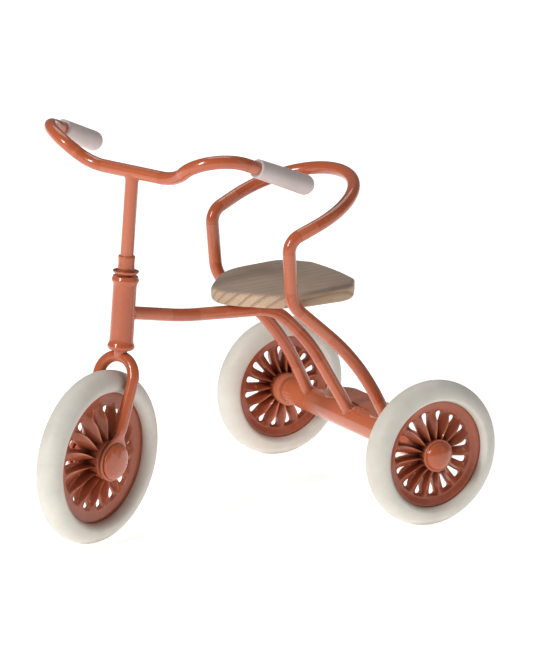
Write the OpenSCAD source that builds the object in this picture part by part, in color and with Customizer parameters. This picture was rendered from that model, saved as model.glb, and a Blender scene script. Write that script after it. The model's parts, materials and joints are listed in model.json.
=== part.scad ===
// Doll-size tricycle: welded rod frame, wooden seat, turning front fork, three stamped-disc wheels.
// Forward is -Y, the rider's left is +X, the ground is z = 0. All sizes are in millimetres.
// The origin is on the ground, in the middle of the whole tricycle's length and width.

/* [Wheels] */
// Outer diameter of the front tyre
front_wheel_d = 40; // [36:1:42]
// Outer diameter of the rear tyres
rear_wheel_d = 34; // [30:1:36]
// Diameter of the front tyre's round section
front_tyre_d = 6.4; // [5.6:0.1:6.6]
// Diameter of the rear tyres' round section
rear_tyre_d = 6.8; // [5.6:0.1:7]
// Distance from the front axle to the rear axle, with the wheel straight ahead
wheelbase = 70.2; // [68:0.2:72]
// Distance between the middles of the two rear wheels
track = 65.4; // [64:0.2:70]
// Openings in each wheel disc
petals = 15; // [9:1:18]

/* [Frame] */
// Diameter of the bent steel rod
rod_d = 3; // [2.6:0.1:3.2]
// Diameter of the fork's bent rod
fork_rod_d = 2.7; // [2.4:0.1:3]
// Outer diameter of the rear axle tube
axle_tube_d = 6.2; // [5.6:0.1:7]
// Outer diameter of the head tube
head_tube_d = 5.4; // [5:0.1:6]
// Length of the head tube
head_tube_len = 17; // [15:0.2:17.4]
// Half the width of the backrest loop, at its back
loop_half_w = 19.4; // [18.6:0.1:20]

/* [Seat] */
// Thickness of the wooden seat
seat_t = 3.3; // [3:0.1:3.8]
// Height of the seat's upper face
seat_top_z = 53.7; // [53.5:0.1:54.2]

/* [Steering] */
// Lean of the steering axis, top to the rear, in degrees
rake = 5.5; // [4:0.1:7]
// How far the front wheel is turned to the rider's left
steer_rest = 22; // [-30:1:30]
// Length of a handlebar grip
grip_len = 18.2; // [14:0.2:18.4]
// Diameter of a handlebar grip at its rounded end
grip_d = 4.7; // [4.2:0.1:4.8]
// Diameter of a handlebar grip at its open end
grip_mouth_d = 4.3; // [3.8:0.1:4.4]

/* [Fits] */
// Radial clearance of a turning fit
run_fit = 0.05; // [0.03:0.01:0.1]
// Clearance between parts that move past each other
gap = 0.3; // [0.2:0.05:0.35]

/* [Hidden] */
$fn = 96;
coral = [0.80, 0.47, 0.36];
cream = [0.87, 0.86, 0.81];
wood = [0.78, 0.66, 0.54];
mauve = [0.75, 0.71, 0.70];
steel = [0.62, 0.62, 0.63];

// How far a straight laps over a bend, how much thicker it is, and how far a cutter runs past a face
lap = 0.06;
step = 0.01;
over = 1;

// The steering axis passes through a point inside the head tube, this far ahead of the rear axle
front_r = front_wheel_d / 2;
rear_r = rear_wheel_d / 2;
steer_ahead = 61.4;
steer_z = 50;

// The turned front wheel's reach ahead of the rear axle, and the rear axle's place that centres it
arm_y = steer_ahead - wheelbase;
arm_z = front_r - steer_z;
arm_along = sin(rake) * arm_y + cos(rake) * arm_z;
turned_y = arm_y * cos(steer_rest) + sin(rake) * arm_along * (1 - cos(steer_rest));
wheel_lean = sqrt(1 - pow(cos(rake) * sin(steer_rest), 2));
nose_reach = steer_ahead - turned_y + (front_r - front_tyre_d / 2) * wheel_lean + front_tyre_d / 2;
rear_y = (nose_reach - rear_r) / 2;
steer_y = rear_y - steer_ahead;

// Rear axle, along X
rear_axle_d = 2.6;
tube_half = 27;
head_bottom = 43.5;
head_bead = 0.4;
bead_r = 0.8;

// Front axle and fork, in the straight-ahead position
hub_y = rear_y - wheelbase;
fork_half_top = 4.97;
fork_half_hub = 4.5;
crown_z = head_bottom - gap - fork_rod_d / 2;
crown_y = steer_y + (crown_z - steer_z) * tan(rake);
crown_bend = 4.8;
ear_d = 9.4;
ear_t = 1;
ear_reach = 4;
rivet_d = 2.4;
rivet_head_d = 8.4;
rivet_head_h = 1.4;

// Rod centre lines: points with a bend radius at each corner between the ends
main_route = [
    [0, steer_y, 52],
    [0, rear_y - 45.5, 48.8],
    [0, rear_y - 21.3, 46.9],
    [0, rear_y - 11.8, 37.2],
    [0, rear_y, rear_r]
];
main_bends = [62, 12, 41];
stay_foot = [18.25, rear_y, rear_r];
stay_knee = [17.3, rear_y - 9.2, 36.1];
loop_low = [16.55, rear_y - 26.9, 52.15];
loop_high = [16.9, rear_y - 27.8, 67.1];
loop_rise = 21.7;
loop_depth = 26.6;
loop_back = [
    loop_half_w,
    loop_high.y + loop_depth * cos(loop_rise),
    loop_high.z + loop_depth * sin(loop_rise)
];
stay_bend = 56;
low_bend = 7.6;
high_bend = 4;
back_turn = turn(loop_high, loop_back, swap_x(loop_back));
back_bend = (loop_half_w - lap) / tan(back_turn / 2);

// Handlebar centre line, in the straight-ahead position
bar_z = 84;
bar_y = steer_y + (bar_z - steer_z) * tan(rake);
bar_elbow = [12, bar_y, bar_z];
bar_shoulder = [25.1, rear_y - 63.2, 93.8];
bar_end = [30.2, rear_y - 34.8, 81.5];
elbow_bend = 10.8;
shoulder_bend = 8.5;
grip_end_wall = 0.2;

// Seat, its plate and the two screws that hold it, one each side of the main tube
seat_bottom = seat_top_z - seat_t;
seat_nose_y = rear_y - 37;
seat_back_y = rear_y - 6.6;
seat_ease = 0.5;
seat_plate_t = 1;
seat_plate_r = 4.6;
seat_plate_y = [rear_y - 28.5, rear_y - 20.5];
screw_at = [[-2.9, rear_y - 24.5], [2.9, rear_y - 24.5]];
screw_d = 1.4;
screw_head_d = 2.4;
screw_head_h = 0.8;
screw_bite = 2.2;

// Step behind the rear axle
step_half = 14.5;
step_front = 1;
step_back = 7.6;
step_t = 1;
step_top = rear_r + axle_tube_d / 2 + 0.2;
step_round = 4.5;

// Wheel discs: rim radii and half thicknesses, hub bosses, bushes
front_rim_r = front_r - 4.9;
rear_rim_r = rear_r - 4.5;
front_rim_half = 0.8;
rear_rim_half = 1.5;
rim_lip = 0.9;
bush_wall = 0.7;
front_boss_r = 4.5;
front_boss_half = fork_half_hub - ear_t / 2 - gap;
front_bush_d = rivet_d + 2 * run_fit + 2 * bush_wall;
rear_boss_r = 3.5;
rear_boss_in = track / 2 - tube_half - gap;
rear_boss_out = 2.6;
rear_bush_d = rear_axle_d + 2 * run_fit + 2 * bush_wall;

// Push-on caps at the ends of the rear axle rod
cap_d = 7;
cap_flange_d = 7.6;
cap_flange_t = 0.4;
cap_h = 2.2;
cap_dome = 1.6;
cap_bore = 1.2;
cap_x = track / 2 + rear_boss_out + gap;
cap_dome_r = (pow(cap_d / 2, 2) + pow(cap_dome, 2)) / (2 * cap_dome);
axle_rod_half = cap_x + cap_bore;

// Washer and collar over the head tube, fixed on the stem
washer_d = 6;
washer_t = 1;
washer_z = head_bottom + (head_tube_len + gap) * cos(rake);
washer_lip = 0.45;
washer_edge = 0.2;
collar_d = 3.8;
collar_h = 3.4;
collar_ring_r = 0.3;

// Vector helpers
function unit(v) = v / norm(v);
function swap_x(p) = [-p.x, p.y, p.z];
function mirrored(points) = [for (i = [len(points) - 1:-1:0]) swap_x(points[i])];
function backwards(list) = [for (i = [len(list) - 1:-1:0]) list[i]];
function turn(a, b, c) = acos(min(1, max(-1, unit(b - a) * unit(c - b))));
function setback(points, bends, i) =
    i == 0 || i == len(points) - 1
        ? 0
        : bends[i - 1] * tan(turn(points[i - 1], points[i], points[i + 1]) / 2);
function side_of(w) = abs(w.x) < 0.9 ? unit(cross(w, [1, 0, 0])) : unit(cross(w, [0, 1, 0]));
function placed(x, y, z, o) = [
    [x.x, y.x, z.x, o.x],
    [x.y, y.y, z.y, o.y],
    [x.z, y.z, z.z, o.z],
    [0, 0, 0, 1]
];

// A straight round bar from a to b
module bar(a, b, d) {
    w = unit(b - a);
    u = side_of(w);
    multmatrix(placed(u, cross(w, u), w, a))
        cylinder(d = d, h = norm(b - a));
}

// A round bend at corner b, between the straights from a and to c
module elbow(a, b, c, bend, d) {
    way_in = unit(b - a);
    way_out = unit(c - b);
    sweep = turn(a, b, c);
    start = b - way_in * bend * tan(sweep / 2);
    inward = unit(way_out - (way_out * way_in) * way_in);
    multmatrix(placed(-inward, way_in, cross(-inward, way_in), start + inward * bend))
        rotate_extrude(angle = sweep)
            translate([bend, 0])
                circle(d = d);
}

// A bent rod along a route, with a bend radius at each inner point.
// Each straight is a hair thicker than the bends and laps over them, so that they fuse cleanly.
module bent_rod(points, bends, d) {
    last = len(points) - 1;
    for (i = [0:last - 1]) {
        w = unit(points[i + 1] - points[i]);
        from = points[i] + w * setback(points, bends, i);
        to = points[i + 1] - w * setback(points, bends, i + 1);
        bar(from - (i > 0 ? lap : 0) * w, to + (i < last - 1 ? lap : 0) * w, d + 2 * step);
    }
    for (i = [1:last - 1])
        elbow(points[i - 1], points[i], points[i + 1], bends[i - 1], d);
}

// Turns its children with the front fork; they are drawn straight ahead
module steered() {
    translate([0, steer_y, steer_z])
        rotate([-rake, 0, 0])
            rotate([0, 0, steer_rest])
                rotate([rake, 0, 0])
                    translate([0, -steer_y, -steer_z])
                        children();
}

// Puts its children on the steering axis, z measured along it from the height given
module on_axis(z) {
    translate([0, steer_y + (z - steer_z) * tan(rake), z])
        rotate([-rake, 0, 0])
            children();
}

// Lays a shape drawn around Z along X at a wheel's centre
module at_axle(x, y, z) {
    translate([x, y, z])
        rotate([0, 90, 0])
            children();
}

// A solid of the axle tube's outside, to shape the rod ends that are welded to it
module axle_cope() {
    at_axle(-tube_half, rear_y, rear_r)
        cylinder(d = axle_tube_d, h = 2 * tube_half);
}

// A long round solid on the steering axis
module axis_cope(d) {
    on_axis(head_bottom)
        cylinder(d = d, h = head_tube_len);
}

module head_tube() color(coral) {
    bead_d = head_tube_d + 2 * head_bead;
    on_axis(head_bottom)
        difference() {
            union() {
                cylinder(d = head_tube_d, h = head_tube_len);
                for (z = [bead_r, head_tube_len - bead_r])
                    translate([0, 0, z])
                        rotate_extrude()
                            translate([bead_d / 2 - bead_r, 0])
                                circle(r = bead_r);
            }
            translate([0, 0, -over])
                cylinder(d = rod_d + 2 * run_fit, h = head_tube_len + 2 * over);
        }
}

module main_tube() color(coral) {
    difference() {
        bent_rod(main_route, main_bends, rod_d);
        axis_cope(head_tube_d);
        axle_cope();
    }
}

module backrest_hoop() color(coral) {
    half = [stay_foot, stay_knee, loop_low, loop_high, loop_back];
    half_bends = [stay_bend, low_bend, high_bend, back_bend];
    difference() {
        bent_rod(concat(half, mirrored(half)), concat(half_bends, backwards(half_bends)), rod_d);
        axle_cope();
    }
}

module rear_axle_tube() color(coral) {
    at_axle(-tube_half, rear_y, rear_r)
        difference() {
            cylinder(d = axle_tube_d, h = 2 * tube_half);
            translate([0, 0, -over])
                cylinder(d = rear_axle_d, h = 2 * (tube_half + over));
        }
}

// A flat plate with rounded rear corners
module rear_step() color(coral) {
    corner_y = step_back - step_round;
    corner_x = step_half - step_round;
    difference() {
        translate([0, rear_y, step_top - step_t])
            linear_extrude(step_t) {
                translate([-step_half, step_front])
                    square([2 * step_half, corner_y - step_front]);
                translate([-corner_x, step_front])
                    square([2 * corner_x, step_back - step_front]);
                for (s = [-1, 1])
                    translate([s * corner_x, corner_y])
                        circle(r = step_round);
            }
        axle_cope();
    }
}

// The seat's outline: a rounded triangle with a small nose, wide hips and a gently curved back
module seat_outline(inset) {
    nose_r = 7.2;
    side_r = 15;
    side_y = rear_y - 19.5;
    hip = [9.2, rear_y - 12.85];
    hip_r = 6.2;
    back_r = 60;
    hull() {
        translate([0, seat_nose_y + nose_r])
            circle(r = nose_r - inset);
        translate([0, side_y])
            circle(r = side_r - inset);
        for (s = [-1, 1])
            translate([s * hip.x, hip.y])
                circle(r = hip_r - inset);
        intersection() {
            translate([0, seat_back_y - back_r])
                circle(r = back_r - inset, $fn = 300);
            translate([-hip.x, hip.y])
                square([2 * hip.x, 12]);
        }
    }
}

module seat() color(wood) {
    difference() {
        translate([0, 0, seat_bottom])
            hull() {
                translate([0, 0, seat_ease])
                    linear_extrude(seat_t - 2 * seat_ease)
                        seat_outline(0, $fn = 48);
                linear_extrude(seat_t)
                    seat_outline(seat_ease, $fn = 48);
            }
        for (p = screw_at)
            translate([p.x, p.y, seat_bottom - over])
                cylinder(d = screw_d, h = over + screw_bite);
    }
}

// A round-ended strip welded to the main tube, under the seat
module seat_plate() color(coral) {
    difference() {
        translate([0, 0, seat_bottom - seat_plate_t])
            linear_extrude(seat_plate_t) {
                for (y = seat_plate_y)
                    translate([0, y])
                        circle(r = seat_plate_r);
                translate([-seat_plate_r, seat_plate_y[0]])
                    square([2 * seat_plate_r, seat_plate_y[1] - seat_plate_y[0]]);
            }
        bent_rod(main_route, main_bends, rod_d);
        for (p = screw_at)
            translate([p.x, p.y, seat_bottom - seat_plate_t - over])
                cylinder(d = screw_d, h = seat_plate_t + 2 * over);
    }
}

// Two pan-head wood screws, driven up through the plate
module seat_screws() color(steel) {
    for (p = screw_at)
        translate([p.x, p.y, seat_bottom - seat_plate_t]) {
            cylinder(d = screw_d, h = seat_plate_t + screw_bite);
            translate([0, 0, -screw_head_h])
                cylinder(d1 = 0.7 * screw_head_d, d2 = screw_head_d, h = screw_head_h);
        }
}

module rear_axle_rod() color(steel) {
    at_axle(-axle_rod_half, rear_y, rear_r)
        cylinder(d = rear_axle_d, h = 2 * axle_rod_half);
}

// A domed push-on cap with a thin flange, drawn around Z with its flange down
module push_cap() {
    rotate_extrude()
        difference() {
            union() {
                square([cap_flange_d / 2, cap_flange_t]);
                square([cap_d / 2, cap_h - cap_dome]);
                intersection() {
                    translate([0, cap_h - cap_dome_r])
                        circle(r = cap_dome_r);
                    square([cap_d / 2, cap_h]);
                }
            }
            square([rear_axle_d / 2, cap_bore]);
        }
}

module rear_cap(side) {
    translate([side * cap_x, rear_y, rear_r])
        rotate([0, side * 90, 0])
            push_cap();
}

module rear_cap_left() color(coral) rear_cap(1);

module rear_cap_right() color(coral) rear_cap(-1);

// The leg of the fork that is on one side, from the crown down to its flattened ear
function leg_top(side) = [side * fork_half_top, crown_y, crown_z];
function leg_end(side) = [side * fork_half_hub, hub_y, front_r];
function leg_foot(side) =
    leg_end(side) + unit(leg_top(side) - leg_end(side)) * ear_reach;

// The bent rod of the fork, from one ear over the crown to the other
module fork_rod() {
    route = [leg_foot(1), leg_top(1), leg_top(-1), leg_foot(-1)];
    bent_rod(route, [crown_bend, crown_bend], fork_rod_d);
}

module fork() color(coral) {
    steered()
        difference() {
            union() {
                difference() {
                    fork_rod();
                    at_axle(-fork_half_hub + ear_t / 2, hub_y, front_r)
                        cylinder(d = ear_d, h = 2 * fork_half_hub - ear_t);
                }
                for (s = [-1, 1])
                    at_axle(s * fork_half_hub - ear_t / 2, hub_y, front_r)
                        cylinder(d = ear_d, h = ear_t);
            }
            at_axle(-2 * fork_half_hub, hub_y, front_r)
                cylinder(d = rivet_d, h = 4 * fork_half_hub);
        }
}

module steering_stem() color(coral) {
    steered()
        difference() {
            bar([0, crown_y, crown_z], [0, bar_y, bar_z], rod_d);
            fork_rod();
            bar(swap_x(bar_elbow), bar_elbow, rod_d);
        }
}

// A sleeve that is fixed on the stem and rests on the washer
module stem_collar() color(coral) {
    steered()
        on_axis(washer_z + washer_t * cos(rake))
            difference() {
                union() {
                    cylinder(d = collar_d, h = collar_h);
                    translate([0, 0, collar_h - collar_ring_r])
                        rotate_extrude()
                            translate([(collar_d - collar_ring_r) / 2, 0])
                                circle(r = collar_ring_r);
                }
                translate([0, 0, -over])
                    cylinder(d = rod_d, h = collar_h + 2 * over);
            }
}

// A thin dished washer over the head tube, its rim turned up
module head_washer() color(coral) {
    rim = washer_d / 2;
    steered()
        on_axis(washer_z)
            rotate_extrude()
                polygon([
                    [rod_d / 2, 0],
                    [rim - 2 * washer_lip, 0],
                    [rim, washer_lip],
                    [rim, washer_t - washer_edge],
                    [rim - washer_edge, washer_t],
                    [rod_d / 2, washer_t]
                ]);
}

module handlebar() color(coral) {
    half = [bar_end, bar_shoulder, bar_elbow];
    half_bends = [shoulder_bend, elbow_bend];
    steered()
        bent_rod(concat(half, mirrored(half)), concat(half_bends, backwards(half_bends)), rod_d);
}

// A soft sleeve with a round closed end, pushed over the end of the bar
module grip() {
    w = unit(bar_end - bar_shoulder);
    u = side_of(w);
    mouth_r = grip_mouth_d / 2;
    round_r = grip_d / 2;
    straight = grip_len - round_r;
    multmatrix(placed(u, cross(w, u), w, bar_end - w * (straight - grip_end_wall)))
        rotate_extrude()
            difference() {
                union() {
                    polygon([[0, 0], [mouth_r, 0], [round_r, straight], [0, straight]]);
                    translate([0, straight])
                        intersection() {
                            circle(r = round_r);
                            square(round_r);
                        }
                }
                square([rod_d / 2 + step, straight - grip_end_wall]);
            }
}

module grip_left() color(mauve) steered() grip();

module grip_right() color(mauve) steered() mirror([1, 0, 0]) grip();

// One rivet with a domed head at each end
module front_rivet() color(coral) {
    face = fork_half_hub + ear_t / 2;
    dome_r = (pow(rivet_head_d / 2, 2) + pow(rivet_head_h, 2)) / (2 * rivet_head_h);
    steered()
        at_axle(0, hub_y, front_r) {
            cylinder(d = rivet_d, h = 2 * face, center = true);
            for (s = [0, 1])
                mirror([0, 0, s])
                    rotate_extrude()
                        intersection() {
                            translate([0, face + rivet_head_h - dome_r])
                                circle(r = dome_r);
                            translate([0, face])
                                square([rivet_head_d / 2, rivet_head_h]);
                        }
        }
}

// One tyre around Z: a round section, cut square where it grips the rim
module tyre(wheel_r, section_d, rim_r, rim_half) {
    rotate_extrude()
        difference() {
            translate([wheel_r - section_d / 2, 0])
                circle(d = section_d);
            translate([0, -section_d])
                square([rim_r, 2 * section_d]);
            translate([0, -rim_half])
                square([rim_r + rim_lip, 2 * rim_half]);
        }
}

// One stamped disc around Z: rim, cone and hub boss, with a ring of teardrop openings
module disc(rim_r, rim_half, boss_r, boss_low, boss_high, bore_d) {
    cone_out = 0.84 * rim_r;
    wide = 0.76 * rim_r;
    narrow = 0.52 * rim_r;
    wide_r = 0.078 * rim_r;
    narrow_r = 0.03 * rim_r;
    cone_half = rim_half + 0.9;
    tall = 2 * (boss_low + boss_high);
    difference() {
        rotate_extrude()
            polygon([
                [bore_d / 2, -boss_low],
                [boss_r, -boss_low],
                [boss_r, -cone_half],
                [cone_out, -rim_half],
                [rim_r + rim_lip, -rim_half],
                [rim_r + rim_lip, rim_half],
                [cone_out, rim_half],
                [boss_r, cone_half],
                [boss_r, boss_high],
                [bore_d / 2, boss_high]
            ]);
        for (i = [0:petals - 1])
            rotate([0, 0, i * 360 / petals])
                translate([0, 0, -tall / 2])
                    linear_extrude(tall) {
                        translate([wide, 0])
                            circle(r = wide_r);
                        translate([narrow, 0])
                            circle(r = narrow_r);
                        polygon([
                            [narrow, -narrow_r],
                            [wide, -wide_r],
                            [wide, wide_r],
                            [narrow, narrow_r]
                        ]);
                    }
    }
}

module front_disc() color(coral) {
    steered()
        at_axle(0, hub_y, front_r)
            disc(
                front_rim_r,
                front_rim_half,
                front_boss_r,
                front_boss_half,
                front_boss_half,
                front_bush_d
            );
}

module front_hub_bush() color(steel) {
    steered()
        at_axle(0, hub_y, front_r)
            difference() {
                cylinder(d = front_bush_d, h = 2 * front_boss_half, center = true);
                cylinder(d = rivet_d + 2 * run_fit, h = 4 * front_boss_half, center = true);
            }
}

module front_tyre() color(cream) {
    steered()
        at_axle(0, hub_y, front_r)
            tyre(front_r, front_tyre_d, front_rim_r, front_rim_half);
}

// Puts its children on one rear axle end, with +Z pointing away from the frame
module at_rear(side) {
    translate([side * track / 2, rear_y, rear_r])
        rotate([0, side * 90, 0])
            children();
}

module rear_disc(side) {
    at_rear(side)
        disc(rear_rim_r, rear_rim_half, rear_boss_r, rear_boss_in, rear_boss_out, rear_bush_d);
}

module rear_bush(side) {
    at_rear(side)
        translate([0, 0, -rear_boss_in])
            difference() {
                cylinder(d = rear_bush_d, h = rear_boss_in + rear_boss_out);
                translate([0, 0, -over])
                    cylinder(
                        d = rear_axle_d + 2 * run_fit,
                        h = rear_boss_in + rear_boss_out + 2 * over
                    );
            }
}

module rear_tyre(side) {
    at_rear(side)
        tyre(rear_r, rear_tyre_d, rear_rim_r, rear_rim_half);
}

module rear_disc_left() color(coral) rear_disc(1);

module rear_disc_right() color(coral) rear_disc(-1);

module rear_hub_bush_left() color(steel) rear_bush(1);

module rear_hub_bush_right() color(steel) rear_bush(-1);

module rear_tyre_left() color(cream) rear_tyre(1);

module rear_tyre_right() color(cream) rear_tyre(-1);

head_tube();
main_tube();
backrest_hoop();
rear_axle_tube();
rear_step();
seat_plate();
seat();
seat_screws();
rear_axle_rod();
rear_cap_left();
rear_cap_right();
fork();
steering_stem();
stem_collar();
head_washer();
handlebar();
grip_left();
grip_right();
front_rivet();
front_disc();
front_hub_bush();
front_tyre();
rear_disc_left();
rear_hub_bush_left();
rear_tyre_left();
rear_disc_right();
rear_hub_bush_right();
rear_tyre_right();
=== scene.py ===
import json
import math
import random

import bpy
from mathutils import Matrix, Vector


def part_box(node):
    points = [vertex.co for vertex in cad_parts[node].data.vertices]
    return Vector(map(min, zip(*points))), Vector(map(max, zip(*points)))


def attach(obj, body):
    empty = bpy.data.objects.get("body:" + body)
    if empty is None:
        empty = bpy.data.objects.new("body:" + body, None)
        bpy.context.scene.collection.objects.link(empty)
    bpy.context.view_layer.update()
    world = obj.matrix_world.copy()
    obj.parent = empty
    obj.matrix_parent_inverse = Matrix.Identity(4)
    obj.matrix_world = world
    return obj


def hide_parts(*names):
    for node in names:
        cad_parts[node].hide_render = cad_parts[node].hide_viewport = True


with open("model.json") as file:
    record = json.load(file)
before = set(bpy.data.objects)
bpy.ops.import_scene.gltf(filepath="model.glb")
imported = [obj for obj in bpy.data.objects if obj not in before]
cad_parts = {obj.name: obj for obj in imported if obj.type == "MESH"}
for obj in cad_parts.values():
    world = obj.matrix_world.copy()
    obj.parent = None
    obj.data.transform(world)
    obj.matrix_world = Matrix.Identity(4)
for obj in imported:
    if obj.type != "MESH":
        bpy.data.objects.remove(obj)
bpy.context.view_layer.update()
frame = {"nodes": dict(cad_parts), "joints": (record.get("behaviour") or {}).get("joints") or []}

# Lengths below are in millimetres unless they come from the frame, which is in metres
MM = 0.001


# ---------------------------------------------------------------- places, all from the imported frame

def middle(node):
    lo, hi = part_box(node)
    return (lo + hi) / 2


joints = {j["name"]: j for j in frame["joints"]}
axle = middle("rear_axle_tube")
REAR_Y = axle.y / MM
REAR_R = axle.z / MM
steer = joints["steering_turn"]
STEER_AT = Vector(steer["pos_m"]) / MM
STEER_AXIS = Vector(steer["axis"]).normalized()
hub = joints["front_wheel_spin"]
HUB_AXIS = Vector(hub["axis"]).normalized()
REST_TURN = math.atan2(STEER_AXIS.dot(Vector((1, 0, 0)).cross(HUB_AXIS)), HUB_AXIS.x)


def about(point, axis, angle):
    return Matrix.Translation(point) @ Matrix.Rotation(angle, 4, axis) @ Matrix.Translation(-point)


TURNED = about(STEER_AT, STEER_AXIS, REST_TURN)
HUB_AHEAD = TURNED.inverted() @ (Vector(hub["pos_m"]) / MM)


def on_axis(z):
    return STEER_AT + STEER_AXIS * ((z - STEER_AT.z) / STEER_AXIS.z)


# ---------------------------------------------------------------- mesh helpers

def piece(name, verts, faces, body, material, nodes=(), matrix=None, sharp=38):
    """A mesh in millimetres, placed in metres, that rides on a body."""
    mesh = bpy.data.meshes.new(name)
    if matrix is not None:
        verts = [matrix @ Vector(v) for v in verts]
    mesh.from_pydata([Vector(v) * MM for v in verts], [], faces)
    mesh.validate()
    mesh.update()
    mesh.polygons.foreach_set("use_smooth", [True] * len(mesh.polygons))
    mesh.set_sharp_from_angle(angle=math.radians(sharp))
    obj = bpy.data.objects.new(name, mesh)
    bpy.context.scene.collection.objects.link(obj)
    mesh.materials.append(material)
    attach(obj, body)
    if nodes:
        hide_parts(*nodes)


def basis(origin, z_axis, x_hint=(0, 0, 1)):
    """A frame at origin whose Z is z_axis."""
    w = Vector(z_axis).normalized()
    u = Vector(x_hint) - w * w.dot(Vector(x_hint))
    u.normalize()
    v = w.cross(u)
    m = Matrix((u, v, w)).transposed().to_4x4()
    m.translation = Vector(origin)
    return m


def rings_to_mesh(rings, closed_loop=False, caps=True):
    """Quads between rings of equal length, with flat caps on the first and last."""
    n = len(rings[0])
    verts = [p for ring in rings for p in ring]
    faces = []
    count = len(rings)
    for i in range(count if closed_loop else count - 1):
        a, b = i * n, ((i + 1) % count) * n
        for k in range(n):
            k2 = (k + 1) % n
            faces.append((a + k, a + k2, b + k2, b + k))
    if caps and not closed_loop:
        faces.append(tuple(range(n - 1, -1, -1)))
        faces.append(tuple(range((count - 1) * n, count * n)))
    return verts, faces


def lathe(profile, segments=128, closed=False):
    """Turns (z, r) points around Z. An r of 0 at either end closes the shape there."""
    rings = []
    for z, r in profile:
        rings.append([
            (r * math.cos(2 * math.pi * k / segments), r * math.sin(2 * math.pi * k / segments), z)
            for k in range(segments)
        ])
    if closed:
        return rings_to_mesh(rings, closed_loop=True)
    verts, faces = [], []
    index = []
    for (z, r), ring in zip(profile, rings):
        if r == 0:
            index.append([len(verts)])
            verts.append((0, 0, z))
        else:
            index.append(list(range(len(verts), len(verts) + segments)))
            verts.extend(ring)
    for a, b in zip(index, index[1:]):
        for k in range(segments):
            k2 = (k + 1) % segments
            if len(a) == 1:
                faces.append((a[0], b[k2], b[k]))
            elif len(b) == 1:
                faces.append((a[k], a[k2], b[0]))
            else:
                faces.append((a[k], a[k2], b[k2], b[k]))
    return verts, faces


def smooth01(t):
    t = min(1.0, max(0.0, t))
    return t * t * (3 - 2 * t)


def mixed(a, b, t):
    return a + (b - a) * t


def rounded_route(points, radii, step):
    """A polyline through points with a bend radius at each inner one."""
    out = [Vector(points[0])]
    for i in range(1, len(points) - 1):
        a, b, c = Vector(points[i - 1]), Vector(points[i]), Vector(points[i + 1])
        way_in, way_out = (b - a).normalized(), (c - b).normalized()
        turn = way_in.angle(way_out)
        back = radii[i - 1] * math.tan(turn / 2)
        start = b - way_in * back
        inward = (way_out - way_in * way_out.dot(way_in)).normalized()
        centre = start + inward * radii[i - 1]
        count = max(6, int(radii[i - 1] * turn / step))
        for k in range(count + 1):
            t = turn * k / count
            out.append(centre - inward * radii[i - 1] * math.cos(t)
                       + way_in * radii[i - 1] * math.sin(t))
    out.append(Vector(points[-1]))
    dense = [out[0]]
    for p in out[1:]:
        gap = (p - dense[-1]).length
        parts = max(1, int(gap / step))
        start = dense[-1].copy()
        for k in range(1, parts + 1):
            dense.append(start.lerp(p, k / parts))
    return dense


# ---------------------------------------------------------------- material helpers

def srgb(r, g, b):
    """A linear colour from 0-255 display values."""
    return tuple(
        (c / 255 / 12.92 if c / 255 <= 0.04045 else ((c / 255 + 0.055) / 1.055) ** 2.4)
        for c in (r, g, b)
    ) + (1.0,)


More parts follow.
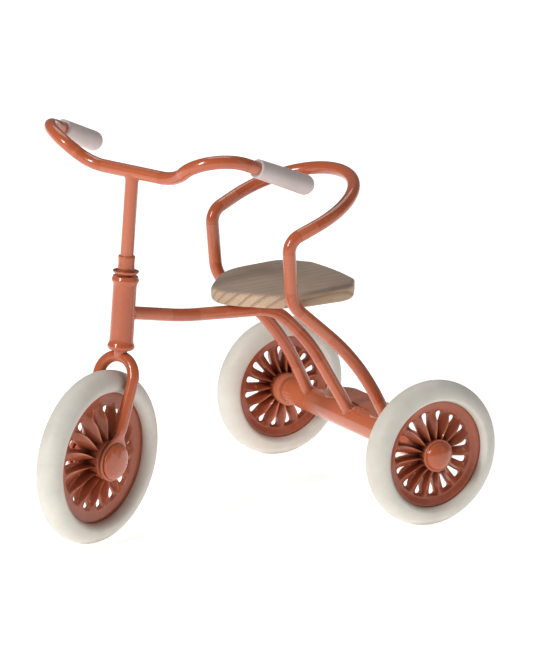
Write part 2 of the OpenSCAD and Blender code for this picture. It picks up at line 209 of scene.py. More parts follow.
class Nodes:
    """A small wrapper that adds and joins shader nodes."""

    def __init__(self, name):
        self.material = bpy.data.materials.new(name)
        self.material.use_nodes = True
        self.tree = self.material.node_tree
        self.tree.nodes.clear()
        self.out = self.add("ShaderNodeOutputMaterial")
        self.bsdf = self.add("ShaderNodeBsdfPrincipled")
        self.join(self.bsdf.outputs[0], self.out.inputs["Surface"])
        self.coords = self.add("ShaderNodeTexCoord").outputs["Object"]

    def add(self, kind, **settings):
        node = self.tree.nodes.new(kind)
        for key, value in settings.items():
            setattr(node, key, value)
        return node

    def join(self, a, b):
        self.tree.links.new(a, b)

    def feed(self, socket, value):
        if hasattr(value, "is_linked"):
            self.join(value, socket)
        else:
            socket.default_value = value

    def noise(self, scale, detail=3.0, rough=0.5, warp=0.0, coords=None):
        node = self.add("ShaderNodeTexNoise")
        self.join(coords or self.coords, node.inputs["Vector"])
        node.inputs["Scale"].default_value = scale
        node.inputs["Detail"].default_value = detail
        node.inputs["Roughness"].default_value = rough
        node.inputs["Distortion"].default_value = warp
        return node.outputs["Fac"]

    def stretched(self, scale):
        node = self.add("ShaderNodeMapping")
        self.join(self.coords, node.inputs["Vector"])
        node.inputs["Scale"].default_value = scale
        return node.outputs[0]

    def ramp(self, value, stops):
        node = self.add("ShaderNodeValToRGB")
        self.join(value, node.inputs["Fac"])
        ramp = node.color_ramp
        while len(ramp.elements) < len(stops):
            ramp.elements.new(0.5)
        for element, (place, colour) in zip(ramp.elements, stops):
            element.position = place
            if not isinstance(colour, tuple):
                colour = (colour, colour, colour, 1.0)
            element.color = colour
        return node.outputs["Color"]

    def mix(self, factor, a, b, blend="MIX"):
        node = self.add("ShaderNodeMix", data_type="RGBA", blend_type=blend)
        self.feed(node.inputs[0], factor)
        self.feed(node.inputs[6], a)
        self.feed(node.inputs[7], b)
        return node.outputs[2]

    def math(self, operation, a, b=0.0, c=0.0):
        node = self.add("ShaderNodeMath", operation=operation)
        self.feed(node.inputs[0], a)
        self.feed(node.inputs[1], b)
        self.feed(node.inputs[2], c)
        return node.outputs[0]

    def spread(self, value, low, high):
        """Maps a 0-1 value to low-high."""
        return self.math("MULTIPLY_ADD", value, high - low, low)

    def bump(self, height, strength, distance, normal=None):
        node = self.add("ShaderNodeBump")
        node.inputs["Strength"].default_value = strength
        node.inputs["Distance"].default_value = distance
        self.join(height, node.inputs["Height"])
        if normal is not None:
            self.join(normal, node.inputs["Normal"])
        return node.outputs[0]

    def crevice(self, distance):
        node = self.add("ShaderNodeAmbientOcclusion", samples=6)
        node.inputs["Distance"].default_value = distance
        return node.outputs["AO"]

    def edge(self):
        return self.add("ShaderNodeNewGeometry").outputs["Pointiness"]

    def set(self, **values):
        for key, value in values.items():
            self.feed(self.bsdf.inputs[key.replace("_", " ")], value)


def paint(name, colour, deep, light, rough, peel, coat):
    """Thick enamel: mottled colour, orange peel, a painted highlight along the ridges and painted
    shade in the crevices.
    """
    n = Nodes(name)
    mottle = n.noise(140, 4, 0.55)
    base = n.mix(n.ramp(mottle, [(0.3, 0.0), (0.7, 0.22)]), colour, light)
    fine = n.noise(900, 3, 0.6)
    base = n.mix(n.ramp(fine, [(0.45, 0.0), (0.85, 0.16)]), base, deep)
    # Painted shade: the paint turns darker in crevices and where parts meet.
    painted_crevice_shade = n.ramp(n.crevice(0.0016), [(0.25, 1.0), (0.85, 0.0)])
    base = n.mix(n.math("MULTIPLY", painted_crevice_shade, 0.75), base, deep)
    # Painted highlight: the paint turns paler along sharp ridges and crests.
    painted_ridge_highlight = n.ramp(n.edge(), [(0.506, 0.0), (0.555, 0.85)])
    base = n.mix(painted_ridge_highlight, base, light)
    n.set(Base_Color=base, Coat_Weight=coat, Coat_Roughness=0.08, Specular_IOR_Level=0.3)
    n.set(Roughness=n.spread(n.noise(420, 3, 0.6), rough - 0.07, rough + 0.09))
    peel_height = n.bump(n.noise(1500, 2, 0.5), peel, 0.00006)
    n.set(Normal=n.bump(n.noise(230, 2, 0.4), peel * 0.8, 0.00025, peel_height))
    return n.material


def soft_plastic(name, colour, shade, rough, bleed):
    """Moulded soft plastic: faint cloudiness, fine grain, painted shade in the corners."""
    n = Nodes(name)
    cloud = n.ramp(n.noise(95, 5, 0.6), [(0.35, 0.0), (0.75, 1.0)])
    base = n.mix(n.math("MULTIPLY", cloud, 0.35), colour, shade)
    speck = n.ramp(n.noise(2600, 2, 0.7), [(0.68, 0.0), (0.8, 0.3)])
    base = n.mix(speck, base, shade)
    # Painted shade: the plastic turns darker in corners and where parts meet.
    painted_corner_shade = n.ramp(n.crevice(0.0022), [(0.2, 0.9), (0.8, 0.0)])
    base = n.mix(painted_corner_shade, base, shade)
    n.set(Base_Color=base, Subsurface_Weight=bleed, Subsurface_Scale=0.0012, IOR=1.45)
    n.set(Roughness=n.spread(n.noise(600, 3, 0.6), rough - 0.08, rough + 0.08))
    grain = n.bump(n.noise(3800, 2, 0.6), 0.12, 0.00004)
    n.set(Normal=n.bump(n.noise(320, 3, 0.5), 0.12, 0.00012, grain))
    return n.material


def bare_metal(name, colour, dark, rough):
    """Drawn steel: streaks along the bar and a little tarnish."""
    n = Nodes(name)
    streak = n.noise(1.0, 4, 0.7, coords=n.stretched((300, 5200, 5200)))
    tarnish = n.ramp(n.noise(500, 4, 0.6), [(0.45, 0.0), (0.8, 0.8)])
    base = n.mix(tarnish, colour, dark)
    n.set(Base_Color=base, Metallic=1.0)
    n.set(Roughness=n.spread(streak, rough - 0.1, rough + 0.15))
    n.set(Normal=n.bump(streak, 0.15, 0.00003))
    return n.material


def sanded_pine(name):
    """Pine sawn with its fibres fore and aft, its growth rings leaning across the seat."""
    n = Nodes(name)
    ring_lean = (-0.75, 0.0, 0.66)
    ring_pitch = 0.0019
    wander = n.noise(1.0, 3, 0.5, coords=n.stretched((160, 30, 160)))
    dot = n.add("ShaderNodeVectorMath", operation="DOT_PRODUCT")
    n.join(n.coords, dot.inputs[0])
    dot.inputs[1].default_value = ring_lean
    depth = n.math("MULTIPLY_ADD", wander, 0.0016, dot.outputs["Value"])
    turns = n.math("FRACT", n.math("DIVIDE", depth, ring_pitch))
    ring = n.ramp(turns, [(0.0, 0.12), (0.55, 0.0), (0.86, 0.75), (0.95, 1.0), (1.0, 0.12)])
    fibre = n.noise(1.0, 5, 0.65, coords=n.stretched((3600, 150, 3600)))
    pores = n.noise(1.0, 2, 0.5, coords=n.stretched((7000, 420, 7000)))
    # Up-facing faces get a greyer, darker wood than the sawn edges. This is mostly painted shade, for
    # a top the low key light leaves dim, and a little the sanded top's own tone.
    top = n.add("ShaderNodeSeparateXYZ")
    n.join(n.add("ShaderNodeTexCoord").outputs["Normal"], top.inputs[0])
    up = n.ramp(top.outputs["Z"], [(0.45, 0.0), (0.85, 1.0)])
    edge_light, edge_ring = srgb(218, 190, 162), srgb(172, 134, 104)
    top_light, shade_painted_top_ring = srgb(186, 168, 152), srgb(164, 143, 124)
    edge_wood = n.mix(ring, edge_light, edge_ring)
    shade_painted_top_wood = n.mix(n.math("MULTIPLY", ring, 0.55), top_light, shade_painted_top_ring)
    wood = n.mix(up, edge_wood, shade_painted_top_wood)
    streaks = n.ramp(fibre, [(0.35, 0.35), (0.62, 0.0)])
    wood = n.mix(streaks, wood, srgb(120, 96, 76))
    flecks = n.ramp(pores, [(0.62, 0.0), (0.76, 0.45)])
    wood = n.mix(flecks, wood, srgb(190, 168, 146))
    patch = n.ramp(n.noise(90, 3, 0.5), [(0.35, 0.0), (0.7, 0.35)])
    wood = n.mix(patch, wood, srgb(150, 128, 106))
    n.set(Base_Color=wood, IOR=1.4)
    n.set(Roughness=n.spread(fibre, 0.55, 0.8))
    relief = n.mix(0.5, ring, fibre)
    n.set(Normal=n.bump(relief, 0.3, 0.00008, n.bump(pores, 0.25, 0.00004)))
    return n.material


CORAL = srgb(184, 88, 50)
# Darker coral, for the fine specks and for the painted shade in crevices.
CORAL_SPECK_AND_SHADE = srgb(116, 50, 34)
# Paler coral, for the mottle and for the painted highlight along ridges.
CORAL_MOTTLE_AND_HIGHLIGHT = srgb(198, 108, 72)
DISC = srgb(164, 80, 52)
# Darker disc colour, for the fine specks and for the painted shade in crevices.
DISC_SPECK_AND_SHADE = srgb(80, 36, 27)
# Paler disc colour, for the mottle and for the painted highlight along ridges.
DISC_MOTTLE_AND_HIGHLIGHT = srgb(214, 128, 92)

enamel = paint("frame_enamel", CORAL, CORAL_SPECK_AND_SHADE, CORAL_MOTTLE_AND_HIGHLIGHT, 0.24, 0.06, 0.7)
disc_enamel = paint("disc_enamel", DISC, DISC_SPECK_AND_SHADE, DISC_MOTTLE_AND_HIGHLIGHT, 0.32, 0.08, 0.4)
tyre_plastic = soft_plastic("tyre_plastic", srgb(226, 222, 211), srgb(170, 160, 146), 0.5, 0.05)
grip_plastic = soft_plastic("grip_plastic", srgb(208, 193, 190), srgb(158, 144, 140), 0.46, 0.06)
bush_plastic = soft_plastic("bush_plastic", srgb(222, 218, 206), srgb(160, 152, 140), 0.5, 0.05)
steel = bare_metal("drawn_steel", (0.55, 0.55, 0.56, 1), (0.28, 0.26, 0.25, 1), 0.34)
pine = sanded_pine("sanded_pine")


# ---------------------------------------------------------------- wheel discs

PETALS = 15
SECTOR = 2 * math.pi / PETALS
HOLE_WIDE, HOLE_WIDE_R = 0.735, 0.06
HOLE_NARROW, HOLE_NARROW_R = 0.5, 0.022
RIM_START = 0.835
DISH_SHARE = 0.55
LEAF_BULGE = 0.085
SIDE_STEPS = 16
ARC_STEPS = 10
LAYERS = 10


def inside_hole(x, y):
    """True inside the teardrop opening, in rim radii, with the opening along +x."""
    t = min(1.0, max(0.0, (x - HOLE_NARROW) / (HOLE_WIDE - HOLE_NARROW)))
    radius = mixed(HOLE_NARROW_R, HOLE_WIDE_R, t)
    cx = mixed(HOLE_NARROW, HOLE_WIDE, t)
    return math.hypot(x - cx, y) <= radius


def hole_point(px, py):
    """The teardrop's edge on the way from its middle to a point of the sector's border."""
    cx = mixed(HOLE_NARROW, HOLE_WIDE, 0.6)
    low, high = 0.0, 1.0
    for _ in range(26):
        half = (low + high) / 2
        if inside_hole(mixed(cx, px, half), py * half):
            low = half
        else:
            high = half
    return mixed(cx, px, high), py * high


def disc_face(r, phi, rim_r, hub_r, rim_z, crest_z, floor_z):
    """Height of the ribbed face at radius r and across one sector, phi from -1 to 1."""
    u = (RIM_START * rim_r - r) / (RIM_START * rim_r - hub_r)
    u = min(1.0, max(0.0, u))
    dish_z = mixed(floor_z, rim_z, DISH_SHARE)
    crest = dish_z + (crest_z - dish_z) * (0.45 * smooth01(u / 0.45) + 0.55 * u)
    floor = mixed(dish_z, floor_z, smooth01(u / 0.11))
    share = r / rim_r
    t = min(1.0, max(0.0, (share - HOLE_NARROW) / (HOLE_WIDE - HOLE_NARROW)))
    flat = mixed(HOLE_NARROW_R, HOLE_WIDE_R, t) / (share * SECTOR / 2)
    if phi < 0:
        g = min(1.0, max(0.0, (-phi - 0.8 * flat) / (1 - 0.8 * flat))) ** 0.95
    else:
        g = smooth01((phi - mixed(flat, 1, 0.25)) / (0.75 * (1 - flat)))
    return mixed(floor, crest, g)


def wheel_disc(rim_r, hub_r, bush_r, rim_z, crest_z, floor_z, boss_front, boss_back):
    """A two-faced pierced disc around Z, with ribs that lean like blades and a raised hub."""
    verts, faces = [], []
    lookup = {}

    def vert(x, y, z):
        key = (round(x, 4), round(y, 4), round(z, 4))
        if key not in lookup:
            lookup[key] = len(verts)
            verts.append((x, y, z))
        return lookup[key]

    rim_arc, hub_u = RIM_START, hub_r / rim_r
    dish_z = mixed(floor_z, rim_z, DISH_SHARE)
    half = SECTOR / 2
    border = []
    for k in range(ARC_STEPS):
        border.append((rim_arc, -half + SECTOR * k / ARC_STEPS))
    for k in range(SIDE_STEPS):
        border.append((mixed(rim_arc, hub_u, k / SIDE_STEPS), half))
    for k in range(ARC_STEPS):
        border.append((hub_u, half - SECTOR * k / ARC_STEPS))
    for k in range(SIDE_STEPS):
        border.append((mixed(hub_u, rim_arc, k / SIDE_STEPS), -half))
    border_xy = [(r * math.cos(t), r * math.sin(t)) for r, t in border]
    hole_xy = [hole_point(x, y) for x, y in border_xy]
    count = len(border)

    def place(sector, x, y, side):
        r, t = math.hypot(x, y), math.atan2(y, x)
        phi = min(1.0, max(-1.0, t / half))
        z = disc_face(r * rim_r, phi, rim_r, hub_r, rim_z, crest_z, floor_z)
        u = min(1.0, max(0.0, (rim_arc - r) / (rim_arc - hub_u)))
        t += sector * SECTOR - LEAF_BULGE * math.sin(math.pi * u) * phi * phi
        return vert(r * rim_r * math.cos(t), r * rim_r * math.sin(t), side * z)

    for sector in range(PETALS):
        inner = {}
        for side in (1, -1):
            layers = []
            for layer in range(LAYERS + 1):
                t = (layer / LAYERS) ** 1.25
                layers.append([
                    place(sector, mixed(h[0], b[0], t), mixed(h[1], b[1], t), side)
                    for h, b in zip(hole_xy, border_xy)
                ])
            inner[side] = layers[0]
            for a, b in zip(layers, layers[1:]):
                for k in range(count):
                    k2 = (k + 1) % count
                    quad = (a[k], a[k2], b[k2], b[k])
                    faces.append(quad[::-1] if side > 0 else quad)
        for k in range(count):
            k2 = (k + 1) % count
            faces.append((inner[1][k], inner[1][k2], inner[-1][k2], inner[-1][k]))

    around = PETALS * ARC_STEPS

    def ring(r, z):
        return [
            vert(r * math.cos(-half + 2 * math.pi * k / around),
                 r * math.sin(-half + 2 * math.pi * k / around), z)
            for k in range(around)
        ]

    def strip(a, b, flip):
        for k in range(len(a)):
            k2 = (k + 1) % len(a)
            quad = (a[k], a[k2], b[k2], b[k])
            faces.append(quad[::-1] if flip else quad)

    ends = {}
    for side in (1, -1):
        outer = [ring(rim_arc * rim_r, side * dish_z)]
        dish = [
            (mixed(rim_arc * rim_r, rim_r - 0.3, k / 10), mixed(dish_z, rim_z, smooth01(k / 10)))
            for k in range(1, 11)
        ]
        for r, z in dish + [(rim_r - 0.06, rim_z - 0.02), (rim_r + 0.6, rim_z - 0.03)]:
            outer.append(ring(r, side * z))
        for a, b in zip(outer, outer[1:]):
            strip(a, b, side > 0)
        boss = boss_front if side > 0 else boss_back
        hub_edge = []
        for k in range(around):
            sector, j = divmod(k, ARC_STEPS)
            t = -half + SECTOR * j / ARC_STEPS
            hub_edge.append(place(sector, hub_u * math.cos(t), hub_u * math.sin(t), side))
        inner_rings = [hub_edge]
        wall = [(hub_r, boss - 0.3), (hub_r - 0.09, boss - 0.09), (hub_r - 0.3, boss)]
        if boss > crest_z + 1.5:
            lip = hub_r + 0.35
            wall = [(hub_r + 0.02, crest_z + 0.5), (lip - 0.1, crest_z + 0.62),
                    (lip, crest_z + 0.8), (lip, boss - 0.35), (lip - 0.12, boss - 0.1),
                    (lip - 0.4, boss)]
        for r, z in wall + [(bush_r, boss)]:
            inner_rings.append(ring(r, side * z))
        for a, b in zip(inner_rings, inner_rings[1:]):
            strip(a, b, side < 0)
        ends[side] = (outer[-1], inner_rings[-1])
    strip(ends[1][0], ends[-1][0], True)
    strip(ends[1][1], ends[-1][1], False)
    return verts, faces


def tyre_profile(wheel_r, section_r, rim_r, rim_z):
    """(z, r) points of the tyre's section: round outside, drawn softly in to the rim."""
    centre = wheel_r - section_r
    out = []
    foot = rim_z + 0.18
    for k in range(17):
        a = math.pi / 2 * k / 16
        out.append((foot + (section_r - foot) * math.sin(a) ** 0.9,
                    centre - (centre - rim_r) * math.cos(a)))
    for k in range(1, 48):
        a = math.pi * k / 48
        out.append((section_r * math.cos(a), centre + section_r * math.sin(a)))
    out += [(-z, r) for z, r in out[:17][::-1]]
    out.append((-rim_z, rim_r + 0.12))
    out.append((-rim_z, rim_r + 0.9))
    out.append((rim_z, rim_r + 0.9))
    out.append((rim_z, rim_r + 0.12))
    return out


def wheel(body, tag, centre, z_axis, x_hint, wheel_r, section_r, rim_r, disc_args):
    place = basis(centre, z_axis, x_hint)
    v, f = wheel_disc(rim_r, *disc_args)
    piece(body + "_pierced_disc", v, f, body, disc_enamel, [tag.format("disc")],
          place, sharp=42)
    v, f = lathe(tyre_profile(wheel_r, section_r, rim_r, disc_args[2]), 180, closed=True)
    piece(body + "_moulded_tyre", v, f, body, tyre_plastic, [tag.format("tyre")],
          place, sharp=50)


FRONT_R = HUB_AHEAD.z
FORK_HALF_HUB = 4.5
EAR_T = 1.0
FRONT_DISC = (4.5, 1.95, 0.8, 3.0, 0.25, 3.7, 3.7)
REAR_DISC = (3.5, 2.05, 1.5, 2.4, 0.25, 2.6, 5.4)
wheel("front_wheel", "front_{}", Vector(hub["pos_m"]) / MM, HUB_AXIS,
      TURNED.to_3x3() @ Vector((0, 0, -1)), FRONT_R, 3.2, FRONT_R - 4.9, FRONT_DISC)
for side, tag in ((1, "left"), (-1, "right")):
    wheel("rear_wheel_" + tag, "rear_{}_" + tag, middle("rear_tyre_" + tag) / MM, (side, 0, 0),
          (0, 0, -side), REAR_R, 3.4, REAR_R - 4.5, REAR_DISC)


# ---------------------------------------------------------------- hub caps and the front rivet

CAP_H = 2.2
CAP_R = 3.5
FLANGE_R = 3.8


def cap_profile():
    """A domed push-on cap with a thin rolled flange, its flange down."""
    out = [(0.0, 1.3), (0.0, FLANGE_R - 0.15)]
    out += [(0.18 - 0.16 * math.cos(math.pi * k / 6), FLANGE_R - 0.15 + 0.15 * math.sin(
        math.pi * k / 6)) for k in range(7)]
    out += [(0.36, CAP_R - 0.02), (0.34, CAP_R - 0.14), (0.42, CAP_R - 0.2)]
    rise = CAP_H - 0.42
    out += [(0.42 + rise * math.sin(math.pi / 2 * k / 24),
             (CAP_R - 0.2) * math.cos(math.pi / 2 * k / 24)) for k in range(1, 24)]
    out.append((CAP_H, 0))
    return out


for side, tag in ((1, "left"), (-1, "right")):
    lo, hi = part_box("rear_cap_" + tag)
    face_x = (lo.x if side > 0 else hi.x) / MM
    v, f = lathe(cap_profile(), 96)
    piece("hub_cap_" + tag, v, f, "frame", enamel, ["rear_cap_" + tag],
          basis((face_x, REAR_Y, REAR_R), (side, 0, 0)), sharp=50)

RIVET_R = 4.2
RIVET_H = 1.4
face = FORK_HALF_HUB + EAR_T / 2
dome = [(face, 0), (face, RIVET_R - 0.15), (face + 0.06, RIVET_R - 0.02), (face + 0.16, RIVET_R)]
for k in range(1, 22):
    a = math.pi / 2 * k / 22
    dome.append((face + 0.16 + (RIVET_H - 0.16) * math.sin(a) ** 0.85, RIVET_R * math.cos(a)))
dome.append((face + RIVET_H, 0))
shank = [(-face, 0), (-face, 1.2), (face, 1.2), (face, 0)]
v, f = lathe(dome, 96)
n0 = len(v)
v2 = [(-x, y, -z) for x, y, z in v]
f2 = [tuple(i + n0 for i in q) for q in f]
v3, f3 = lathe(shank, 48)
f3 = [tuple(i + 2 * n0 for i in q) for q in f3]
piece("front_rivet_domes", v + v2 + v3, f + f2 + f3, "steering", enamel,
      ["front_rivet"], basis(Vector(hub["pos_m"]) / MM, HUB_AXIS), sharp=45)


# ---------------------------------------------------------------- fork with flattened ears

ROD_R = 1.5
FORK_ROD_R = 1.35
EAR_R = 4.7
HEAD_BOTTOM = 43.5
CROWN_Z = HEAD_BOTTOM - 0.3 - FORK_ROD_R
crown = on_axis(CROWN_Z)
leg_top = Vector((4.97, crown.y, CROWN_Z))
leg_end = Vector((FORK_HALF_HUB, HUB_AHEAD.y, HUB_AHEAD.z))


def flip_x(p):
    return Vector((-p.x, p.y, p.z))


EAR_FLAT = 3.1
EAR_SINK = 0.02
FORK_BEND = 4.8


def fork_section(distance):
    """Half width and half thickness of the leg at a distance above the ear's middle."""
    if distance < EAR_FLAT:
        width = math.sqrt(max(0.0, EAR_R ** 2 - distance ** 2))
    else:
        start = math.sqrt(EAR_R ** 2 - EAR_FLAT ** 2)
        width = mixed(start, FORK_ROD_R, smooth01((distance - EAR_FLAT) / 3.6) ** 0.7)
    thick = mixed(EAR_T / 2, FORK_ROD_R, smooth01((distance - 4.5) / 3))
    return width, thick


def fork_mesh():
    down = (leg_end - leg_top).normalized()
    foot = leg_end + down * (EAR_R - EAR_SINK)
    route = rounded_route([foot, leg_top, flip_x(leg_top), flip_x(foot)],
                          [FORK_BEND, FORK_BEND], 0.35)
    length = [0.0]
    for a, b in zip(route, route[1:]):
        length.append(length[-1] + (b - a).length)
    total = length[-1]
    count = 40
    rings = []
    for i, p in enumerate(route):
        ahead = route[min(i + 1, len(route) - 1)] - route[max(i - 1, 0)]
        ahead.normalize()
        fore = Vector((0, 1, 0)) - ahead * ahead.y
        fore.normalize()
        across = ahead.cross(fore)
        along = min(length[i], total - length[i])
        width, thick = fork_section(along - EAR_R + EAR_SINK)
        power = mixed(0.62, 1.0, smooth01((along - EAR_R - 3.2) / 3.5))
        ring = []
        for k in range(count):
            a = 2 * math.pi * k / count
            ca, sa = math.cos(a), math.sin(a)
            cx = math.copysign(abs(ca) ** (power if abs(ca) > 0 else 1), ca)
            sx = math.copysign(abs(sa) ** power, sa)
            ring.append(p + fore * (width * cx) + across * (thick * sx))
        rings.append(ring)
    return rings_to_mesh(rings)


v, f = fork_mesh()
piece("bent_fork", v, f, "steering", enamel, ["fork"], TURNED, sharp=55)


# ---------------------------------------------------------------- head tube, washer and collar

HEAD_LEN = 17.0
HEAD_R = 2.7
L = HEAD_LEN
head = [(0.0, 1.56), (0.0, 2.6), (0.08, 2.8), (0.22, 2.94), (0.42, 3.06), (0.68, 3.12),
        (0.95, 3.1), (1.2, 3.0), (1.45, 2.88), (1.8, 2.78), (2.3, 2.72), (3.0, HEAD_R),
        (6.0, HEAD_R), (12.0, HEAD_R), (L - 2.3, HEAD_R), (L - 1.95, 2.73), (L - 1.7, 2.82),
        (L - 1.45, 2.97), (L - 1.2, 3.09), (L - 0.96, 3.12), (L - 0.72, 3.08),
        (L - 0.5, 2.98), (L - 0.3, 2.92), (L - 0.1, 2.86), (L, 2.66), (L, 1.56)]
v, f = lathe(head, 96, closed=True)
piece("turned_head_tube", v, f, "frame", enamel, ["head_tube"],
      basis(on_axis(HEAD_BOTTOM), STEER_AXIS), sharp=40)

HEAD_GAP = 0.3
washer_z = HEAD_BOTTOM + (HEAD_LEN + HEAD_GAP) * STEER_AXIS.z
dish = [(0.0, 1.48), (0.0, 1.9), (0.05, 2.2), (0.18, 2.5), (0.4, 2.8), (0.6, 2.95),
        (0.72, 3.0), (0.82, 2.98), (0.88, 2.9), (0.86, 2.78), (0.72, 2.6), (0.54, 2.36),
        (0.44, 2.15), (0.42, 1.95), (0.5, 1.9), (1.0, 1.88), (1.0, 1.48)]
v, f = lathe(dish, 96, closed=True)
piece("dished_washer", v, f, "steering", enamel, ["head_washer"],
      basis(on_axis(washer_z), STEER_AXIS), sharp=50)


def lumpy(points, amount, scale, seed):
    """Moves points in and out a little, for hand-brushed weld and paint lumps."""
    r = random.Random(seed)
    waves = [(r.uniform(0.6, 1.8), r.uniform(0, 6.3), r.uniform(0, 6.3), r.uniform(0, 6.3))
             for _ in range(7)]
    out = []
    for x, y, z in points:
        s = sum(math.sin(w * scale * x + a) * math.sin(w * scale * y + b)
                * math.cos(w * scale * z + c) for w, a, b, c in waves)
        k = 1 + amount * s
        out.append((x * k, y * k, z))
    return out


collar = [(0.0, 1.5), (0.0, 1.84), (0.1, 1.9), (0.9, 1.9), (1.2, 1.88), (1.5, 1.87),
          (1.9, 1.89), (2.4, 1.91), (2.7, 1.93), (2.9, 1.95), (3.06, 1.94), (3.2, 1.88),
          (3.3, 1.78), (3.32, 1.66), (3.32, 1.5)]
v, f = lathe(collar, 72, closed=True)
collar_z = washer_z + 1.0 * STEER_AXIS.z
piece("painted_collar", lumpy(v, 0.012, 1.6, 3), f, "steering", enamel,
      ["stem_collar"], basis(on_axis(collar_z), STEER_AXIS), sharp=60)


# ---------------------------------------------------------------- grips

BAR_SHOULDER = Vector((25.1, REAR_Y - 63.2, 93.8))
BAR_END = Vector((30.2, REAR_Y - 34.8, 81.5))
GRIP_LEN = 18.2
GRIP_R = 2.35
MOUTH_R = 2.15
way = (BAR_END - BAR_SHOULDER).normalized()
grip_start = BAR_END - way * (GRIP_LEN - GRIP_R - 0.2)
g = GRIP_LEN - GRIP_R
sleeve = [(0.0, 1.53), (0.0, MOUTH_R - 0.22), (0.04, MOUTH_R - 0.1), (0.14, MOUTH_R - 0.02),
          (0.3, MOUTH_R), (1.0, MOUTH_R), (g * 0.35, mixed(MOUTH_R, GRIP_R, 0.33)),
          (g * 0.7, mixed(MOUTH_R, GRIP_R, 0.68)), (g, GRIP_R)]
sleeve += [(g + GRIP_R * math.sin(math.pi / 2 * k / 14),
            GRIP_R * math.cos(math.pi / 2 * k / 14) ** 0.9) for k in range(1, 14)]
sleeve.append((g + GRIP_R, 0))
for side, tag in ((1, "left"), (-1, "right")):
    start = grip_start if side > 0 else flip_x(grip_start)
    along = way if side > 0 else flip_x(way)
    v, f = lathe(sleeve, 72)
    piece("moulded_grip_" + tag, v, f, "steering", grip_plastic, ["grip_" + tag],
          TURNED @ basis(start, along), sharp=50)


# ---------------------------------------------------------------- seat

def convex(points):
    pts = sorted(set((round(x, 5), round(y, 5)) for x, y in points))

    def chain(items):
        out = []
        for p in items:
            while len(out) > 1 and ((out[-1][0] - out[-2][0]) * (p[1] - out[-2][1])
                                    - (out[-1][1] - out[-2][1]) * (p[0] - out[-2][0])) <= 0:
                out.pop()
            out.append(p)
        return out[:-1]

    return chain(pts) + chain(pts[::-1])


def even(loop, count):
    lengths = [math.dist(a, b) for a, b in zip(loop, loop[1:] + loop[:1])]
    total, out, i, used = sum(lengths), [], 0, 0.0
    for k in range(count):
        want = total * k / count
        while used + lengths[i] < want:
            used += lengths[i]
            i += 1
        t = (want - used) / lengths[i]
        a, b = loop[i], loop[(i + 1) % len(loop)]
        out.append((mixed(a[0], b[0], t), mixed(a[1], b[1], t)))
    return out


def ring_points(cx, cy, r, a0=0, a1=360, steps=120):
    return [(cx + r * math.cos(math.radians(mixed(a0, a1, k / steps))),
             cy + r * math.sin(math.radians(mixed(a0, a1, k / steps)))) for k in range(steps + 1)]


NOSE_R = 7.2
SIDE_Y, SIDE_R = -19.5, 15
HIP_X, HIP_Y, HIP_R = 9.2, -12.85, 6.2
BACK_R = 60
SEAT_EASE = 0.85


def seat_mesh():
    lo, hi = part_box("seat")
    lo, hi = lo / MM, hi / MM
    nose_y, back_y = lo.y, hi.y
    pts = ring_points(0, nose_y + NOSE_R, NOSE_R) + ring_points(0, REAR_Y + SIDE_Y, SIDE_R)
    for s in (-1, 1):
        pts += ring_points(s * HIP_X, REAR_Y + HIP_Y, HIP_R)
    back = ring_points(0, back_y - BACK_R, BACK_R, 60, 120, 400)
    pts += [p for p in back if abs(p[0]) < HIP_X]
    loop = even(convex(pts), 260)
    n = len(loop)
    normals = []
    for i in range(n):
        ax, ay = loop[i - 1]
        bx, by = loop[(i + 1) % n]
        d = math.hypot(bx - ax, by - ay)
        normals.append(((by - ay) / d, -(bx - ax) / d))
    ease = SEAT_EASE
    t = hi.z - lo.z
    profile = []
    for k in range(8):
        a = math.pi / 2 * k / 7
        profile.append((ease * (1 - math.sin(a)), ease * (1 - math.cos(a))))
    profile += [(0.0, t * 0.35), (0.0, t * 0.5), (0.0, t * 0.65)]
    for k in range(8):
        a = math.pi / 2 * k / 7
        profile.append((ease * (1 - math.cos(a)), t - ease * (1 - math.sin(a))))
    centre = (0.0, REAR_Y - 19.0)
    rings = []

    def scaled(f, z):
        base = [(x - nx * ease, y - ny * ease) for (x, y), (nx, ny) in zip(loop, normals)]
        return [(mixed(centre[0], x, f), mixed(centre[1], y, f), z) for x, y in base]

    for f_ in (0.02, 0.3, 0.6, 0.85):
        rings.append(scaled(f_, lo.z))
    for inset, z in profile:
        rings.append([(x - nx * inset, y - ny * inset, lo.z + z)
                      for (x, y), (nx, ny) in zip(loop, normals)])
    for f_ in (0.93, 0.8, 0.6, 0.3, 0.02):
        rings.append(scaled(f_, hi.z))
    return rings_to_mesh(rings)


v, f = seat_mesh()
piece("pine_seat", v, f, "frame", pine, ["seat"], sharp=60)


# ---------------------------------------------------------------- welds

WELD_SINK = 0.03
WELD_STEP = 0.02
WELD_ROWS = 8


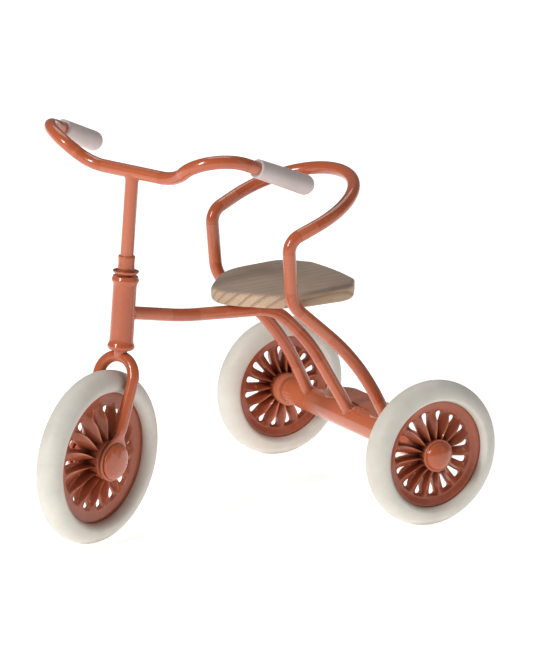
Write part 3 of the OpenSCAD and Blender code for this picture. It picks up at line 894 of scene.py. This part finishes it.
def weld(name, body, foot, rod_way, tube_at, tube_way, tube_r, rise, reach, seed,
         matrix=None):
    """A lumpy fillet where a rod, running off along rod_way, meets a round tube."""
    d = Vector(rod_way).normalized()
    e1 = d.orthogonal().normalized()
    e2 = d.cross(e1)
    axis = Vector(tube_way).normalized()
    r = random.Random(seed)
    phase = [r.uniform(0, 2 * math.pi) for _ in range(6)]

    def gap(p):
        q = p - Vector(tube_at)
        return (q - axis * q.dot(axis)).length

    def drop_to_tube(p):
        q = p - Vector(tube_at)
        flat = q - axis * q.dot(axis)
        return Vector(tube_at) + axis * q.dot(axis) + flat.normalized() * (tube_r - WELD_SINK)

    count = 72
    columns = []
    for k in range(count):
        a = 2 * math.pi * k / count
        out = e1 * math.cos(a) + e2 * math.sin(a)
        lump = 1 + 0.16 * math.sin(5 * a + phase[0]) + 0.1 * math.sin(9 * a + phase[1]) \
            + 0.07 * math.sin(14 * a + phase[2])
        on_rod = Vector(foot) + out * (ROD_R - WELD_SINK)
        t = 0.0
        while gap(on_rod + d * t) < tube_r and t < 3 * tube_r:
            t += WELD_STEP
        base = on_rod + d * t
        top = base + d * (rise * lump)
        skirt = drop_to_tube(base + out * (reach * lump))
        columns.append([
            top * (1 - s) ** 2 + (base + (out + d) * 0.06) * 2 * s * (1 - s) + skirt * s * s
            for s in [j / WELD_ROWS for j in range(WELD_ROWS + 1)]
        ])
    rings = [[c[j] for c in columns] for j in range(WELD_ROWS + 1)]
    verts, faces = rings_to_mesh(rings, caps=False)
    piece(name, verts, faces, body, enamel, (), matrix, sharp=80)


rear_axle_at = Vector((0, REAR_Y, REAR_R))
AXLE_R = 3.1
knee = Vector((17.3, REAR_Y - 9.2, 36.1))
for side, tag in ((1, "left"), (-1, "right")):
    foot = Vector((side * 18.25, REAR_Y, REAR_R))
    top = Vector((side * knee.x, knee.y, knee.z))
    weld("weld_stay_" + tag, "frame", foot, top - foot, rear_axle_at, (1, 0, 0), AXLE_R,
         0.8, 0.75, 11 + side)
weld("weld_middle_stay", "frame", rear_axle_at, Vector((0, -11.8, 37.2 - REAR_R)),
     rear_axle_at, (1, 0, 0), AXLE_R, 0.8, 0.75, 21)
MAIN_Z = 52.0
main_start = Vector((0, STEER_AT.y, MAIN_Z))
main_next = Vector((0, REAR_Y - 45.5, 48.8))
weld("weld_head", "frame", main_start, main_next - main_start, on_axis(MAIN_Z), STEER_AXIS, HEAD_R,
     0.7, 0.6, 31)
BAR_Z = 84.0
bar_mid = on_axis(BAR_Z)
weld("weld_bar", "steering", bar_mid, -STEER_AXIS, bar_mid, (1, 0, 0), ROD_R, 0.9, 0.7, 41,
     TURNED)

for material, names in (
    (enamel, ("main_tube", "backrest_hoop", "rear_axle_tube", "rear_step", "seat_plate",
              "steering_stem", "handlebar")),
    (steel, ("seat_screws", "rear_axle_rod")),
    (bush_plastic, ("front_hub_bush", "rear_hub_bush_left", "rear_hub_bush_right")),
):
    for name in names:
        slots = frame["nodes"][name].data.materials
        slots.clear()
        slots.append(material)


# ---------------------------------------------------------------- floor, lights and camera

def floor_material():
    n = Nodes("studio_floor")
    tone = n.ramp(n.noise(3, 2, 0.5), [(0.3, srgb(246, 246, 246)), (0.7, srgb(250, 250, 249))])
    n.set(Base_Color=tone, Roughness=0.9, Emission_Color=(1, 1, 1, 1), Emission_Strength=0.7)
    n.set(Specular_IOR_Level=0.1)
    return n.material


FLOOR_HALF = 4.0
mesh = bpy.data.meshes.new("studio_floor")
mesh.from_pydata([(-FLOOR_HALF, -FLOOR_HALF, 0), (FLOOR_HALF, -FLOOR_HALF, 0),
                  (FLOOR_HALF, FLOOR_HALF, 0), (-FLOOR_HALF, FLOOR_HALF, 0)], [], [(0, 1, 2, 3)])
floor = bpy.data.objects.new("studio_floor", mesh)
bpy.context.scene.collection.objects.link(floor)
mesh.materials.append(floor_material())

CAM_AZ, CAM_EL, CAM_ROLL = math.radians(58.6), math.radians(15.67), math.radians(-0.6)
CAM_AT = Vector((812.2, -519.3, 308.2))
LENS, SENSOR = 232.4324, 36
back = Vector((math.sin(CAM_AZ) * math.cos(CAM_EL), -math.cos(CAM_AZ) * math.cos(CAM_EL),
               math.sin(CAM_EL)))
right = Vector((math.cos(CAM_AZ), math.sin(CAM_AZ), 0))
up = back.cross(right)
turned_right = right * math.cos(CAM_ROLL) + up * math.sin(CAM_ROLL)
turned_up = up * math.cos(CAM_ROLL) - right * math.sin(CAM_ROLL)
cam_data = bpy.data.cameras.new("camera")
cam_data.sensor_width = SENSOR
cam_data.lens = LENS
cam_data.clip_start, cam_data.clip_end = 0.05, 30
camera = bpy.data.objects.new("camera", cam_data)
cam_matrix = Matrix((turned_right, turned_up, back)).transposed().to_4x4()
cam_matrix.translation = (CAM_AT + Vector((0, REAR_Y, 0))) * MM
camera.matrix_world = cam_matrix
bpy.context.scene.collection.objects.link(camera)
bpy.context.scene.camera = camera
bpy.context.scene.view_settings.view_transform = "Standard"

AIM = Vector((0, 0, 0.045))


def area_light(name, where, size, size_y, power, colour=(1, 1, 1)):
    data = bpy.data.lights.new(name, "AREA")
    data.shape = "RECTANGLE"
    data.size, data.size_y = size, size_y
    data.energy = power
    data.color = colour
    lamp = bpy.data.objects.new(name, data)
    lamp.location = where
    lamp.rotation_mode = "QUATERNION"
    lamp.rotation_quaternion = (AIM - where).to_track_quat("-Z", "Y")
    bpy.context.scene.collection.objects.link(lamp)
    return lamp


flat_back = Vector((back.x, back.y, 0)).normalized()
key_at = AIM - right * 0.55 + flat_back * 0.5 + Vector((0, 0, 0.42))
fill_at = AIM + right * 0.7 + flat_back * 0.3 + Vector((0, 0, 0.3))
top_at = AIM - flat_back * 0.35 + Vector((0, 0, 0.8))
area_light("key_light", key_at, 0.12, 0.32, 3.9)
area_light("fill_light", fill_at, 0.2, 0.5, 0.15)
area_light("top_light", top_at, 0.5, 0.5, 1.9)

world = bpy.data.worlds.new("studio")
world.use_nodes = True
world.node_tree.nodes["Background"].inputs["Color"].default_value = (1, 1, 1, 1)
world.node_tree.nodes["Background"].inputs["Strength"].default_value = 0.17
bpy.context.scene.world = world
